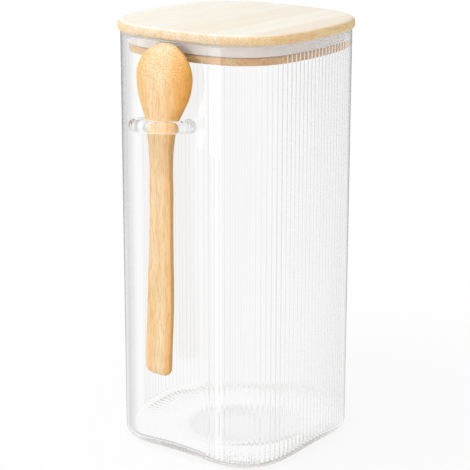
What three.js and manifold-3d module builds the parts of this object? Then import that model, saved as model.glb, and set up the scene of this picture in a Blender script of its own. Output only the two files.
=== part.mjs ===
// A square storage jar of ribbed glass, with a bamboo lid that plugs into its mouth and a bamboo spoon.
// The spoon hangs in a ring of glass rod that is fused to the jar's front face.
// Millimetres, +Z up. The origin is the middle of the jar's base, on the table, and -Y is the front.
import * as THREE from "three";
import { mergeVertices } from "three/addons/utils/BufferGeometryUtils.js";
import Module from "manifold-3d";

const wasm = await Module();
wasm.setup();

// Glass jar
const jarWidth = 100; // across the middle of two opposite sides
const jarHeight = 204.8; // from the table to the rim
const jarCornerRadius = 32;
const jarSideRadius = 144; // the four sides bow outwards
const wall = 2.6;
const floorThickness = 2.6;
const footCornerRadius = 5; // outside edge between wall and base, at the four corner feet
const footSideRadius = 3.5; // the same edge, in the middle of a side
const footArch = 3.2; // how far the base edge rises between the feet
const discRadius = 25; // the flat round middle of the base
const discStep = 0.6; // how far the base steps up round that disc
const discSlope = 6; // width of that step
const floorCornerRadius = 3; // inside edge between wall and floor
const innerFloorRadius = 33; // the plain round floor where the ribs end

// Ribs inside the jar
const ribCount = 120;
const ribDepth = 0.3;
const ribTopInset = 3; // plain glass below the rim
const plainRight = 13; // the front has no ribs where the spoon hangs, this far from its middle
const plainLeft = 61; // along the outline, round the front corner on the -X side
const plainFade = 8;

// Lid
const lidOverhang = 1.3;
const lidThickness = 5.1;
const lidTopEdge = 2.3;
const lidBottomEdge = 1.6;
const lidSeatGap = 0.3;
const gasketClearance = 0.3; // to the peaks of the ribs
const gasketHeight = 4.7;
const gasketThickness = 2.2;
const gasketEdge = 0.7;
const gasketTopGap = 0.9;
const gasketBottomGap = 0.5;
const gasketSeatGap = 0.3; // to the floor of its groove
const lipSetback = 0.7; // the plug's lip lies this far inside the gasket
const lipHeight = 3.4;
const lipEdge = 0.6;

// Glass ring for the spoon
const rodRadius = 3;
const ringRadius = 12.4; // middle of the rod
const ringReach = 6.6; // from the front face to the ring's centre
const ringHeight = 167.1;
const ringTilt = THREE.MathUtils.degToRad(7); // the front of the ring points up
const ringLean = THREE.MathUtils.degToRad(3); // and its +X side is a little higher
const ringFootRadius = 3.6; // where the rod's ends melt into the wall
const ringSeatGap = 0.3;

// Spoon
const spoonLength = 157.2;
const headLength = 35.4; // from its seat on the ring to its top
const spoonClearance = 0.45; // sideways, between the head's flanks and the ring
const spoonLidClearance = 0.5; // the head rises past the edge of the lid
const headHalfWidth = 16.1;
const headWideDrop = 16.4; // from the top to the widest place
const headFront = 5; // convex back, in front of the spoon's centre line
const headRear = 2.8; // rim, behind that line
const neckReach = 7.4; // from the front face to the middle of the neck
const neckHalfWidth = 6.9;
const neckDrop = 6; // from the ring's middle to the end of the neck
const neckHalfThickness = 2.4;
const handleHalfWidth = 6.4; // at its narrowest
const handleHalfThickness = 1.6;
const handleEndHalfWidth = 7.6;
const handleEndRadius = 4;
const handleEndReach = 11; // from the front face to the middle of the handle's end
const handleEndLength = 45; // the handle's edges turn rounder this far from its end
const bowlDepth = 5.2;
const bowlRim = 2.6;

// Fineness of the meshes, in counts
const outlineSteps = 60;
const edgeSteps = 4;
const rimSteps = 6;
const curveSteps = 5;
const rodSides = 14;
const ringSteps = 48;
const spoonSides = 28;
const spoonSteps = 46;

// A rounded square with bowed sides is eight arcs that meet without a kink.
// A side arc's centre lies beyond the jar's axis, a corner arc's centre on the diagonal.
const sideCentre = jarSideRadius - jarWidth / 2;
const radiusDifference = jarSideRadius - jarCornerRadius;
const cornerCentre = (Math.sqrt(2 * radiusDifference ** 2 - sideCentre ** 2) - sideCentre) / 2;
const sideHalfAngle = Math.atan2(cornerCentre, cornerCentre + sideCentre);
const sideLength = 2 * sideHalfAngle * jarSideRadius;
const cornerLength = (Math.PI / 2 - 2 * sideHalfAngle) * jarCornerRadius;

function outlinePoint(turn, inset) {
  const quarter = Math.floor(4 * turn);
  const along = (4 * turn - quarter) * (sideLength + cornerLength);
  const onSide = along < sideLength;
  const sideAngle = along / jarSideRadius - sideHalfAngle;
  const cornerAngle = sideHalfAngle + (along - sideLength) / jarCornerRadius;
  const angle = onSide ? sideAngle : cornerAngle;
  const radius = (onSide ? jarSideRadius : jarCornerRadius) - inset;
  const centre = onSide ? new THREE.Vector2(-sideCentre, 0) : new THREE.Vector2(cornerCentre, cornerCentre);
  const point = new THREE.Vector2(radius * Math.cos(angle), radius * Math.sin(angle)).add(centre);
  return point.rotateAround(new THREE.Vector2(), (quarter * Math.PI) / 2);
}

// 1 in the middle of a side, 0 at a corner.
function sideness(point) {
  return (1 + Math.cos(4 * point.angle())) / 2;
}

function ring(count, place) {
  return Array.from({ length: count }, (_, i) => place(i / count));
}

function outlineRing(inset, height, count = outlineSteps) {
  return ring(count, (turn) => {
    const point = outlinePoint(turn, inset);
    return new THREE.Vector3(point.x, point.y, height);
  });
}

// A stretch of a round edge, as pairs of inset and height. Angle 0 points out of the jar.
function edge(inset, height, radius, from, to, steps) {
  return Array.from({ length: steps + 1 }, (_, i) => {
    const angle = from + ((to - from) * i) / steps;
    return [inset - radius * Math.cos(angle), height + radius * Math.sin(angle)];
  });
}

// Joins rings of points into one skin. Rings may differ in count, and a ring of one point closes an end.
// A closed skin joins its last ring to its first.
function loft(rings, closed = false) {
  const positions = rings.flat().flatMap((point) => point.toArray());
  const starts = [];
  let start = 0;
  for (const each of rings) {
    starts.push(start);
    start += each.length;
  }
  const faces = [];
  const bands = closed ? rings.length : rings.length - 1;
  for (let band = 0; band < bands; band++) {
    const next = (band + 1) % rings.length;
    const lowCount = rings[band].length;
    const highCount = rings[next].length;
    const steps = Math.max(lowCount, highCount);
    for (let step = 0; step < steps; step++) {
      const index = (count, at) => Math.round((at * count) / steps) % count;
      const low = starts[band] + index(lowCount, step);
      const lowNext = starts[band] + index(lowCount, step + 1);
      const high = starts[next] + index(highCount, step);
      const highNext = starts[next] + index(highCount, step + 1);
      if (low !== lowNext) faces.push(low, lowNext, highNext);
      if (high !== highNext) faces.push(low, highNext, high);
    }
  }
  const geometry = new THREE.BufferGeometry();
  geometry.setAttribute("position", new THREE.Float32BufferAttribute(positions, 3));
  geometry.setIndex(faces);
  return geometry;
}

function solidOf(geometry) {
  const bare = new THREE.BufferGeometry();
  bare.setAttribute("position", geometry.getAttribute("position"));
  bare.setIndex(geometry.index);
  const merged = mergeVertices(bare);
  const vertProperties = merged.getAttribute("position").array;
  const triVerts = new Uint32Array(merged.index.array);
  return new wasm.Manifold(new wasm.Mesh({ numProp: 3, vertProperties, triVerts }));
}

function geometryOf(solid) {
  const mesh = solid.getMesh();
  const geometry = new THREE.BufferGeometry();
  geometry.setAttribute("position", new THREE.BufferAttribute(mesh.vertProperties, 3));
  geometry.setIndex(new THREE.BufferAttribute(mesh.triVerts, 1));
  return geometry;
}

function piece(name, geometry, settings) {
  geometry.computeVertexNormals();
  const mesh = new THREE.Mesh(geometry, new THREE.MeshStandardMaterial(settings));
  mesh.name = name;
  return mesh;
}

const halfwayShare = 0.5;

// The base between its round disc and its outer edge, as a share of the way out.
// At share 0 the ring is round, and at share 1 it follows the edge of the wall.
function baseRing(round, share, inset, lift, count) {
  return ring(count, (turn) => {
    const rim = outlinePoint(turn, inset(turn));
    const direction = rim.clone().normalize();
    const place = direction.multiplyScalar(round).lerp(rim, share);
    const height = THREE.MathUtils.lerp(discStep, footArch * sideness(rim), share) + lift;
    return new THREE.Vector3(place.x, place.y, height);
  });
}

// The outside edge of the base is rounder at the corner feet than between them.
function footRadius(turn) {
  const point = outlinePoint(turn, 0);
  return THREE.MathUtils.lerp(footCornerRadius, footSideRadius, sideness(point));
}

function footRing(angle) {
  return ring(outlineSteps, (turn) => {
    const radius = footRadius(turn);
    const point = outlinePoint(turn, radius * (1 - Math.cos(angle)));
    const height = footArch * sideness(outlinePoint(turn, 0)) + radius * (1 - Math.sin(angle));
    return new THREE.Vector3(point.x, point.y, height);
  });
}

// Ribs stand inwards from the wall. They fade out on the front face, where the spoon hangs.
function ribAt(turn) {
  const along = (4 * turn - 3) * (sideLength + cornerLength) - sideLength / 2;
  const beyondPlain = Math.max(along - plainRight, -along - plainLeft);
  const present = THREE.MathUtils.smoothstep(beyondPlain, 0, plainFade);
  return ribDepth * present * Math.sin(Math.PI * ribCount * turn) ** 2;
}

function glassBody() {
  const ribPoints = 2 * ribCount;
  const rimRadius = wall / 2;
  const floorLevel = discStep + floorThickness;
  const rings = [[new THREE.Vector3(0, 0, 0)]];
  const discRing = (radius, height) =>
    ring(outlineSteps, (turn) => {
      const direction = outlinePoint(turn, 0).normalize().multiplyScalar(radius);
      return new THREE.Vector3(direction.x, direction.y, height);
    });
  rings.push(discRing(discRadius, 0));
  rings.push(discRing(discRadius + discSlope, discStep));
  rings.push(baseRing(discRadius + discSlope, halfwayShare, footRadius, 0, outlineSteps));
  for (let i = curveSteps; i >= 0; i--) {
    rings.push(footRing((i / curveSteps) * (Math.PI / 2)));
  }
  for (const [inset, height] of edge(rimRadius, jarHeight - rimRadius, rimRadius, 0, Math.PI, rimSteps)) {
    rings.push(outlineRing(inset, height));
  }
  rings.push(outlineRing(wall, jarHeight - ribTopInset));
  // The ribs run down the wall and on over the inside corner.
  const ribbedRing = (bend, heightAt) =>
    ring(ribPoints, (turn) => {
      const point = outlinePoint(turn, wall + bend + ribAt(turn));
      return new THREE.Vector3(point.x, point.y, heightAt(turn));
    });
  rings.push(ribbedRing(0, () => jarHeight - ribTopInset - ribDepth));
  for (let i = 0; i < curveSteps; i++) {
    const turned = (i / curveSteps) * (Math.PI / 2);
    const bend = floorCornerRadius * (1 - Math.cos(turned));
    const rise = floorThickness + floorCornerRadius * (1 - Math.sin(turned));
    rings.push(ribbedRing(bend, (turn) => footArch * sideness(outlinePoint(turn, 0)) + rise));
  }
  const floorEdge = () => wall + floorCornerRadius;
  rings.push(baseRing(innerFloorRadius, 1, floorEdge, floorThickness, outlineSteps));
  rings.push(baseRing(innerFloorRadius, halfwayShare, floorEdge, floorThickness, outlineSteps));
  rings.push(baseRing(innerFloorRadius, 0, floorEdge, floorThickness, outlineSteps));
  rings.push([new THREE.Vector3(0, 0, floorLevel)]);
  return loft(rings);
}

// Lid: a plate on the rim, a plug that fills the mouth, and a gasket in the plug's groove.
const lidBottom = jarHeight + lidSeatGap;
const lidTop = lidBottom + lidThickness;
const gasketInset = wall + ribDepth + gasketClearance;
const gasketTop = lidBottom - gasketTopGap;
const gasketBottom = gasketTop - gasketHeight;
const lipTop = gasketBottom - gasketBottomGap;
const lipInset = gasketInset + lipSetback;
const grooveInset = gasketInset + gasketThickness + gasketSeatGap;
const downward = -Math.PI / 2;
const upward = Math.PI / 2;

function slab(profile) {
  const rings = profile.map(([inset, height]) => outlineRing(inset, height));
  const first = [new THREE.Vector3(0, 0, profile.at(0)[1])];
  const last = [new THREE.Vector3(0, 0, profile.at(-1)[1])];
  return loft([first, ...rings, last]);
}

function lidPlate() {
  const bottomEdge = edge(
    lidBottomEdge - lidOverhang, lidBottom + lidBottomEdge, lidBottomEdge, downward, 0, edgeSteps,
  );
  const topEdge = edge(lidTopEdge - lidOverhang, lidTop - lidTopEdge, lidTopEdge, 0, upward, edgeSteps);
  return slab([...bottomEdge, ...topEdge]);
}

function lidPlug() {
  const lowerEdge = edge(
    lipInset + lipEdge, lipTop - lipHeight + lipEdge, lipEdge, downward, 0, edgeSteps,
  );
  const upperEdge = edge(lipInset + lipEdge, lipTop - lipEdge, lipEdge, 0, upward, edgeSteps);
  return slab([...lowerEdge, ...upperEdge, [grooveInset, lipTop], [grooveInset, lidBottom]]);
}

function lidGasket() {
  const outer = gasketInset + gasketEdge;
  const inner = gasketInset + gasketThickness;
  const profile = [
    [inner, gasketBottom],
    ...edge(outer, gasketBottom + gasketEdge, gasketEdge, downward, 0, edgeSteps),
    ...edge(outer, gasketTop - gasketEdge, gasketEdge, 0, upward, edgeSteps),
    [inner, gasketTop],
  ];
  return loft(profile.map(([inset, height]) => outlineRing(inset, height)), true);
}

// The ring is a whole torus with a blob of melted glass at each foot, cut to the jar's outside.
const frontFace = -jarWidth / 2;

function spoonLoop() {
  const centre = new THREE.Vector3(0, frontFace - ringReach, ringHeight);
  const turned = new THREE.Euler(-ringTilt, -ringLean, 0);
  const place = new THREE.Matrix4().makeRotationFromEuler(turned).setPosition(centre);
  let loop = solidOf(new THREE.TorusGeometry(ringRadius, rodRadius, rodSides, ringSteps).applyMatrix4(place));
  const footSide = Math.sqrt(ringRadius ** 2 - ringReach ** 2);
  for (const side of [-footSide, footSide]) {
    const blob = new THREE.SphereGeometry(ringFootRadius, rodSides, rodSides);
    blob.translate(side, ringReach, 0).applyMatrix4(place);
    loop = loop.add(solidOf(blob));
  }
  const rings = [0, jarHeight].map((height) => outlineRing(-ringSeatGap, height));
  const jarBlock = loft([[new THREE.Vector3(0, 0, 0)], ...rings, [new THREE.Vector3(0, 0, jarHeight)]]);
  return geometryOf(loop.subtract(solidOf(jarBlock)));
}

// The spoon is a run of rounded sections from its lower end to its top.
// Its flanks rest on the ring's upper inside, so the head's width there follows from the ring.
// The ring leans, and the spoon is symmetric, so it rests at the height of the ring's higher side.
const flankAngle = THREE.MathUtils.degToRad(29);
const seatHalfWidth = ringRadius - rodRadius * Math.cos(flankAngle) - spoonClearance;
const seatHeight = ringHeight + ringRadius * Math.sin(ringLean) + rodRadius * Math.sin(flankAngle);
const spoonTopHeight = seatHeight + headLength;
const spoonBottom = spoonTopHeight - spoonLength;
const headWideHeight = spoonTopHeight - headWideDrop;
const neckHeight = ringHeight - neckDrop;
const headReach = lidOverhang + spoonLidClearance + headRear;

function between(low, high, share) {
  return THREE.MathUtils.lerp(low, high, share);
}

// The handle below the neck, as shares: up from its end, narrowing, and back towards the jar.
const handleShares = [
  [0, 0, 0],
  [0.16, 0.05, 0.28],
  [0.28, 0.15, 0.53],
  [0.4, 0.4, 0.67],
  [0.52, 0.8, 0.79],
  [0.75, 1, 0.94],
];
// The head's taper above the seat, as shares: up to the widest place, widening, thickening, leaning back.
const taperShares = [
  [0, 0, 0.25, 0.2],
  [0.3, 0.42, 0.55, 0.45],
  [0.6, 0.8, 0.85, 0.75],
];

// Each station has a height, then half width, thickness in front of the centre line and behind it, and reach.
const stations = [
  ...handleShares.map(([up, narrow, back]) => [
    between(spoonBottom, neckHeight, up),
    between(handleEndHalfWidth, handleHalfWidth, narrow),
    handleHalfThickness,
    handleHalfThickness,
    between(handleEndReach, neckReach, back),
  ]),
  [neckHeight, neckHalfWidth, neckHalfThickness, neckHalfThickness, neckReach],
  ...taperShares.map(([up, widen, thicken, lean]) => [
    between(seatHeight, headWideHeight, up),
    between(seatHalfWidth, headHalfWidth, widen),
    between(neckHalfThickness, headFront, thicken),
    between(neckHalfThickness, headRear, thicken),
    between(neckReach, headReach, lean),
  ]),
  [headWideHeight, headHalfWidth, headFront, headRear, headReach],
  [spoonTopHeight, headHalfWidth, headFront, headRear, headReach],
];
const heights = stations.map((station) => station[0]);
const values = stations.flatMap((station) => station.slice(1));
const spoonForm = new THREE.CubicInterpolant(heights, values, 4, new Float64Array(4));

// The head ends in a dome whose tip lies at the rim, and the handle in rounded corners that thin out.
const endThinningShare = 0.5;

function spoonSection(height) {
  const [width, front, rear, reach] = spoonForm.evaluate(height);
  const rise = Math.max(0, height - headWideHeight) / headWideDrop;
  const dome = Math.sqrt(Math.max(0, 1 - rise ** 2));
  const fall = Math.max(0, handleEndRadius - (height - spoonBottom)) / handleEndRadius;
  const corner = handleEndRadius * (1 - Math.sqrt(Math.max(0, 1 - fall ** 2)));
  const soften = 1 - endThinningShare * fall ** 4;
  return {
    halfWidth: width * dome - corner,
    front: front * dome * soften,
    rear: rear * dome * soften,
    reach: reach - headRear * (1 - dome),
  };
}

// A section is a superellipse: nearly a box on the handle, softer at its end, and round on the head.
const endRoundness = 3.4;
const handleRoundness = 6;
const headRoundness = 2.1;

function spoonRing(height) {
  const { halfWidth, front, rear, reach } = spoonSection(height);
  const headPart = THREE.MathUtils.smoothstep(height, neckHeight, seatHeight);
  const handlePart = THREE.MathUtils.smoothstep(height, spoonBottom, spoonBottom + handleEndLength);
  const power = 2 / between(between(endRoundness, handleRoundness, handlePart), headRoundness, headPart);
  const bend = (value) => Math.sign(value) * Math.abs(value) ** power;
  return ring(spoonSides, (turn) => {
    const angle = 2 * Math.PI * turn;
    const depth = Math.sin(angle) < 0 ? front : rear;
    const y = frontFace - reach + depth * bend(Math.sin(angle));
    return new THREE.Vector3(halfWidth * bend(Math.cos(angle)), y, height);
  });
}

function spoon() {
  const rings = [];
  for (let i = 1; i < spoonSteps; i++) {
    const share = (1 - Math.cos((Math.PI * i) / spoonSteps)) / 2;
    rings.push(spoonRing(between(spoonBottom, spoonTopHeight, share)));
  }
  const end = (height) => [new THREE.Vector3(0, frontFace - spoonSection(height).reach, height)];
  const blank = solidOf(loft([end(spoonBottom), ...rings, end(spoonTopHeight)]));
  const bowlHalfHeight = headWideDrop - bowlRim;
  const bowl = new THREE.SphereGeometry(1, spoonSides, spoonSides);
  bowl.scale(headHalfWidth - bowlRim, bowlDepth, bowlHalfHeight);
  bowl.translate(0, frontFace - headReach + headRear, headWideHeight);
  return geometryOf(blank.subtract(solidOf(bowl)));
}

const glass = { color: 0xe9f0f2, roughness: 0.05, metalness: 0, transparent: true, opacity: 0.35 };
const bamboo = { color: 0xe9c898, roughness: 0.6, metalness: 0 };
const paleBamboo = { color: 0xf3dfbd, roughness: 0.6, metalness: 0 };
const silicone = { color: 0xe7e6e8, roughness: 0.5, metalness: 0 };

const jar = new THREE.Group();
jar.add(piece("glass_body", glassBody(), glass));
jar.add(piece("spoon_loop", spoonLoop(), glass));

const lid = new THREE.Group();
lid.add(piece("lid_plate", lidPlate(), paleBamboo));
lid.add(piece("lid_plug", lidPlug(), bamboo));
lid.add(piece("lid_gasket", lidGasket(), silicone));

const storageJar = new THREE.Group();
storageJar.add(jar, lid, piece("spoon", spoon(), bamboo));

export default storageJar;
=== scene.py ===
# %% [markdown]
# # A ribbed glass storage jar with a bamboo lid and spoon
#
# This lesson dresses a imported model of a kitchen jar. The model gives the true sizes. Here each piece gets a
# finer mesh and a material with its own small detail, and then a pale studio is put round it.
# Everything is in metres, +Z is up, -Y is the front face where the spoon hangs, and the table is at z = 0.

# %% Load the model
import math

import bmesh
import bpy
from mathutils import Euler, Matrix, Vector

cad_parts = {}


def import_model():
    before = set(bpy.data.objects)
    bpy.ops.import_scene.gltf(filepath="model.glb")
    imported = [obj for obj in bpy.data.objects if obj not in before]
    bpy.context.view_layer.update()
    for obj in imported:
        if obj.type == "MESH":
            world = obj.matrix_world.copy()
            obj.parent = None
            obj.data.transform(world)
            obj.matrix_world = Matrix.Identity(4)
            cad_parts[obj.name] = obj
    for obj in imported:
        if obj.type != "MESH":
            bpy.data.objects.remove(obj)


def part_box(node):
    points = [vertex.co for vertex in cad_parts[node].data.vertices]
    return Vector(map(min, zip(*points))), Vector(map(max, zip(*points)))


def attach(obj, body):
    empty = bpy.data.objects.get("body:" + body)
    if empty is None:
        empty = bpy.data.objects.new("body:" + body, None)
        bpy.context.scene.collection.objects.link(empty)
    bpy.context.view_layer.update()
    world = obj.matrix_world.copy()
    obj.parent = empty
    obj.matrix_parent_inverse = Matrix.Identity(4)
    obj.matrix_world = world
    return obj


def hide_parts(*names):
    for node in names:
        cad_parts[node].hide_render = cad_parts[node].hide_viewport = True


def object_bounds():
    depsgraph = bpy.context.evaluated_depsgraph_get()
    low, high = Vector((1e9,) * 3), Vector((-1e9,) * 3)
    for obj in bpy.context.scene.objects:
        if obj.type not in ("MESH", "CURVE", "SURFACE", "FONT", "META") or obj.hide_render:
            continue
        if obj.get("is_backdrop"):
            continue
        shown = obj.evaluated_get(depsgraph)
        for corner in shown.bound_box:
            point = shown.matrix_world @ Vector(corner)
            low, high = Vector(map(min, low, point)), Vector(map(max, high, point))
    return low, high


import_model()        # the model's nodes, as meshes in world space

MM = 0.001
CAD_BOX = [list(corner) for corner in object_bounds()]
GLASS_LOW, GLASS_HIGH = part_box("glass_body")
PLATE_LOW, PLATE_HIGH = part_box("lid_plate")
PLUG_LOW, PLUG_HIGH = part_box("lid_plug")
GASKET_LOW, GASKET_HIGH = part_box("lid_gasket")
SPOON_LOW, SPOON_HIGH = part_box("spoon")
print("the jar is", round(GLASS_HIGH.x / MM * 2), "mm wide and", round(GLASS_HIGH.z / MM), "mm high")

# %% [markdown]
# ## The outline that every piece shares
#
# Seen from above, the jar is a square with rounded corners whose sides bow outwards a little. It could be
# drawn as a Bezier curve, but then the lid's overhang and the wall's thickness would each need a curve of
# their own. Eight arcs that meet without a kink are exact, and an offset of them is the same arcs with
# another radius.

# %% The outline as eight arcs
JAR_WIDTH = GLASS_HIGH.x - GLASS_LOW.x
RIM_HEIGHT = GLASS_HIGH.z
CORNER_RADIUS = 32 * MM
SIDE_RADIUS = 144 * MM

SIDE_CENTRE = SIDE_RADIUS - JAR_WIDTH / 2
RADIUS_DIFFERENCE = SIDE_RADIUS - CORNER_RADIUS
CORNER_CENTRE = (math.sqrt(2 * RADIUS_DIFFERENCE ** 2 - SIDE_CENTRE ** 2) - SIDE_CENTRE) / 2
SIDE_HALF_ANGLE = math.atan2(CORNER_CENTRE, CORNER_CENTRE + SIDE_CENTRE)
SIDE_LENGTH = 2 * SIDE_HALF_ANGLE * SIDE_RADIUS
CORNER_LENGTH = (math.pi / 2 - 2 * SIDE_HALF_ANGLE) * CORNER_RADIUS


def outline_point(turn, inset):
    """A point of the outline, moved inwards by inset. Turn goes once round from 0 to 1."""
    quarter = math.floor(4 * turn)
    along = (4 * turn - quarter) * (SIDE_LENGTH + CORNER_LENGTH)
    if along < SIDE_LENGTH:
        angle = along / SIDE_RADIUS - SIDE_HALF_ANGLE
        radius = SIDE_RADIUS - inset
        centre = Vector((-SIDE_CENTRE, 0))
    else:
        angle = SIDE_HALF_ANGLE + (along - SIDE_LENGTH) / CORNER_RADIUS
        radius = CORNER_RADIUS - inset
        centre = Vector((CORNER_CENTRE, CORNER_CENTRE))
    point = centre + radius * Vector((math.cos(angle), math.sin(angle)))
    point.rotate(Matrix.Rotation(quarter * math.pi / 2, 2))
    return point


def sideness(turn):
    """1 in the middle of a side and 0 at a corner."""
    point = outline_point(turn, 0)
    return (1 + math.cos(4 * math.atan2(point.y, point.x))) / 2


def mix(low, high, share):
    return low + (high - low) * share


def smooth_share(value, low, high):
    """0 below low, 1 above high, and an even S-curve between them."""
    share = min(max((value - low) / (high - low), 0), 1)
    return share * share * (3 - 2 * share)


print("a side is", round(SIDE_LENGTH / MM, 1), "mm long and a corner", round(CORNER_LENGTH / MM, 1), "mm")

# %% [markdown]
# ## One way to make a skin
#
# A jar, a board, a seal and a spoon have one thing in common: each is a stack of rings of points. A loft
# joins ring to ring with quads, which keep smooth shading clean. Only edges that turn sharply are marked
# sharp.

# %% Loft rings into an object
SHARP_ANGLE = math.radians(40)


def loft(rings, closed=False):
    """A skin through rings of equally many points. If closed, the last ring joins the first."""
    shell = bmesh.new()
    loops = [[shell.verts.new(point) for point in ring] for ring in rings]
    following = loops[1:] + loops[:1] if closed else loops[1:]
    for low, high in zip(loops, following):
        for i in range(len(low)):
            j = (i + 1) % len(low)
            shell.faces.new((low[i], low[j], high[j], high[i]))
    if not closed:
        shell.faces.new(list(reversed(loops[0])))
        shell.faces.new(loops[-1])
    bmesh.ops.recalc_face_normals(shell, faces=shell.faces)
    return shell


def finish_mesh(name, shell):
    """Turns the skin into an object with smooth shading."""
    data = bpy.data.meshes.new(name)
    shell.to_mesh(data)
    shell.free()
    piece = bpy.data.objects.new(name, data)
    bpy.context.scene.collection.objects.link(piece)
    smooth(piece)
    return piece


def smooth(piece):
    data = piece.data
    data.shade_smooth()
    data.set_sharp_from_angle(angle=SHARP_ANGLE)


def outline_ring(count, inset, height):
    points = [outline_point(i / count, inset) for i in range(count)]
    return [Vector((point.x, point.y, height)) for point in points]


def arc(inset, height, radius, start, end, steps):
    """A round edge as pairs of inset and height. Angle 0 points out of the jar and 90 degrees points up."""
    angles = [mix(start, end, i / steps) for i in range(steps + 1)]
    return [(inset - radius * math.cos(angle), height + radius * math.sin(angle)) for angle in angles]


def place(piece, body, slot, *nodes):
    """The piece rides on a body and stands for the nodes, which are hidden. The slot is not used."""
    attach(piece, body)
    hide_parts(*nodes)
    print(piece.name, "has", len(piece.data.polygons), "faces and rides on", body)


print("edges that turn more than", round(math.degrees(SHARP_ANGLE)), "degrees stay sharp")

# %% [markdown]
# ## The glass jar
#
# The real jar is blown into a mould: smooth outside, with fine upright ribs inside. The ribs could be painted
# as bump, but clear glass bends what is seen through it by its true shape, so they are modelled: each rib is
# eight points wide. The front face and its corner on the -X side have none, so the spoon hangs before plain
# glass. The base is dished up between four feet, with a low step round the disc it stands on. The ribs run
# over the inner corner and die out on the floor.

# %% The jar's sizes
WALL = 2.6 * MM
RIB_COUNT = 120
POINTS_PER_RIB = 8
RIB_DEPTH = 0.3 * MM
RIB_TOP_INSET = 3 * MM
PLAIN_RIGHT = 13 * MM
PLAIN_LEFT = 61 * MM
PLAIN_FADE = 8 * MM
FLOOR_THICKNESS = 2.6 * MM
FLOOR_CORNER_RADIUS = 3 * MM
INNER_FLOOR_RADIUS = 33 * MM
FOOT_CORNER_RADIUS = 5 * MM
FOOT_SIDE_RADIUS = 3.5 * MM
FOOT_ARCH = 3.2 * MM
DISC_RADIUS = 25 * MM
DISC_STEP = 0.6 * MM
DISC_SLOPE = 6 * MM
JAR_POINTS = RIB_COUNT * POINTS_PER_RIB
CURVE_STEPS = 10
UNDERSIDE_STEPS = 4
RIB_FADE_STEPS = 4
FLOOR_STEPS = 5
print("a ring round the jar has", JAR_POINTS, "points")


# %% How far the ribs stand out
def rib_at(turn):
    """How far the glass stands inwards. Along is measured from the middle of the front."""
    along = (4 * turn - 3) * (SIDE_LENGTH + CORNER_LENGTH) - SIDE_LENGTH / 2
    present = smooth_share(max(along - PLAIN_RIGHT, -along - PLAIN_LEFT), 0, PLAIN_FADE)
    return RIB_DEPTH * present * math.sin(math.pi * RIB_COUNT * turn) ** 2


highest_rib = max(rib_at(i / JAR_POINTS) for i in range(JAR_POINTS))
print("the highest rib stands out", round(highest_rib / MM, 2), "mm")


# %% Rings of the base
def jar_ring(place_point):
    return [place_point(i / JAR_POINTS) for i in range(JAR_POINTS)]


def disc_ring(radius, height):
    def at(turn):
        direction = outline_point(turn, 0).normalized() * radius
        return Vector((direction.x, direction.y, height))
    return jar_ring(at)


def foot_ring(angle):
    """The outer edge of the base. Angle 0 is the wall and 90 degrees is the underside."""
    def at(turn):
        side = sideness(turn)
        radius = mix(FOOT_CORNER_RADIUS, FOOT_SIDE_RADIUS, side)
        point = outline_point(turn, radius * (1 - math.cos(angle)))
        return Vector((point.x, point.y, FOOT_ARCH * side + radius * (1 - math.sin(angle))))
    return jar_ring(at)


def base_ring(round_radius, share, inset_at, lift, relief=0):
    """The base between a round disc (share 0) and the wall's edge (share 1)."""
    def at(turn):
        rim = outline_point(turn, inset_at(turn))
        spot = (rim.normalized() * round_radius).lerp(rim, share)
        height = mix(DISC_STEP, FOOT_ARCH * sideness(turn), share) + lift + relief * rib_at(turn)
        return Vector((spot.x, spot.y, height))
    return jar_ring(at)


def foot_inset(turn):
    return mix(FOOT_CORNER_RADIUS, FOOT_SIDE_RADIUS, sideness(turn))


def floor_inset(turn):
    return WALL + FLOOR_CORNER_RADIUS


print("the feet stand", round(FOOT_ARCH / MM, 1), "mm below the middle of a side")


# %% Rings of the inner wall
def fading_ring(share):
    """The wall under the rim, where the ribs grow from nothing (share 0) to full depth (share 1)."""
    height = RIM_HEIGHT - RIB_TOP_INSET * (1 + share)

    def at(turn):
        point = outline_point(turn, WALL + smooth_share(share, 0, 1) * rib_at(turn))
        return Vector((point.x, point.y, height))
    return jar_ring(at)


def ribbed_ring(turned):
    """The inner wall (turned 0) bending into the floor (turned 90 degrees)."""
    def at(turn):
        rib = rib_at(turn)
        bend = FLOOR_CORNER_RADIUS * (1 - math.cos(turned))
        point = outline_point(turn, WALL + bend + rib * math.cos(turned))
        drop = FLOOR_CORNER_RADIUS * (1 - math.sin(turned))
        height = FOOT_ARCH * sideness(turn) + FLOOR_THICKNESS + drop + rib * math.sin(turned)
        return Vector((point.x, point.y, height))
    return jar_ring(at)


print("the ribs reach full depth", round(2 * RIB_TOP_INSET / MM), "mm below the rim")


# %% The whole jar
def jar_rings():
    """From the base outside, over the rim, to the floor inside."""
    climbs = [i / CURVE_STEPS for i in range(CURVE_STEPS + 1)]
    rings = []
    for climb in climbs:
        rings.append(disc_ring(DISC_RADIUS + DISC_SLOPE * climb, DISC_STEP * smooth_share(climb, 0, 1)))
    for i in range(1, UNDERSIDE_STEPS):
        rings.append(base_ring(DISC_RADIUS + DISC_SLOPE, i / UNDERSIDE_STEPS, foot_inset, 0))
    rings += [foot_ring((1 - climb) * math.pi / 2) for climb in climbs]
    rim = arc(WALL / 2, RIM_HEIGHT - WALL / 2, WALL / 2, 0, math.pi, CURVE_STEPS)
    rings += [outline_ring(JAR_POINTS, inset, height) for inset, height in rim]
    rings += [fading_ring(i / RIB_FADE_STEPS) for i in range(RIB_FADE_STEPS + 1)]
    rings += [ribbed_ring(climb * math.pi / 2) for climb in climbs]
    for i in range(1, FLOOR_STEPS + 1):
        share = 1 - i / FLOOR_STEPS
        rings.append(base_ring(INNER_FLOOR_RADIUS, share, floor_inset, FLOOR_THICKNESS, share))
    return rings


glass_jar = finish_mesh("glass_jar", loft(jar_rings()))
print("the jar has", len(glass_jar.data.vertices), "points")

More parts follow.
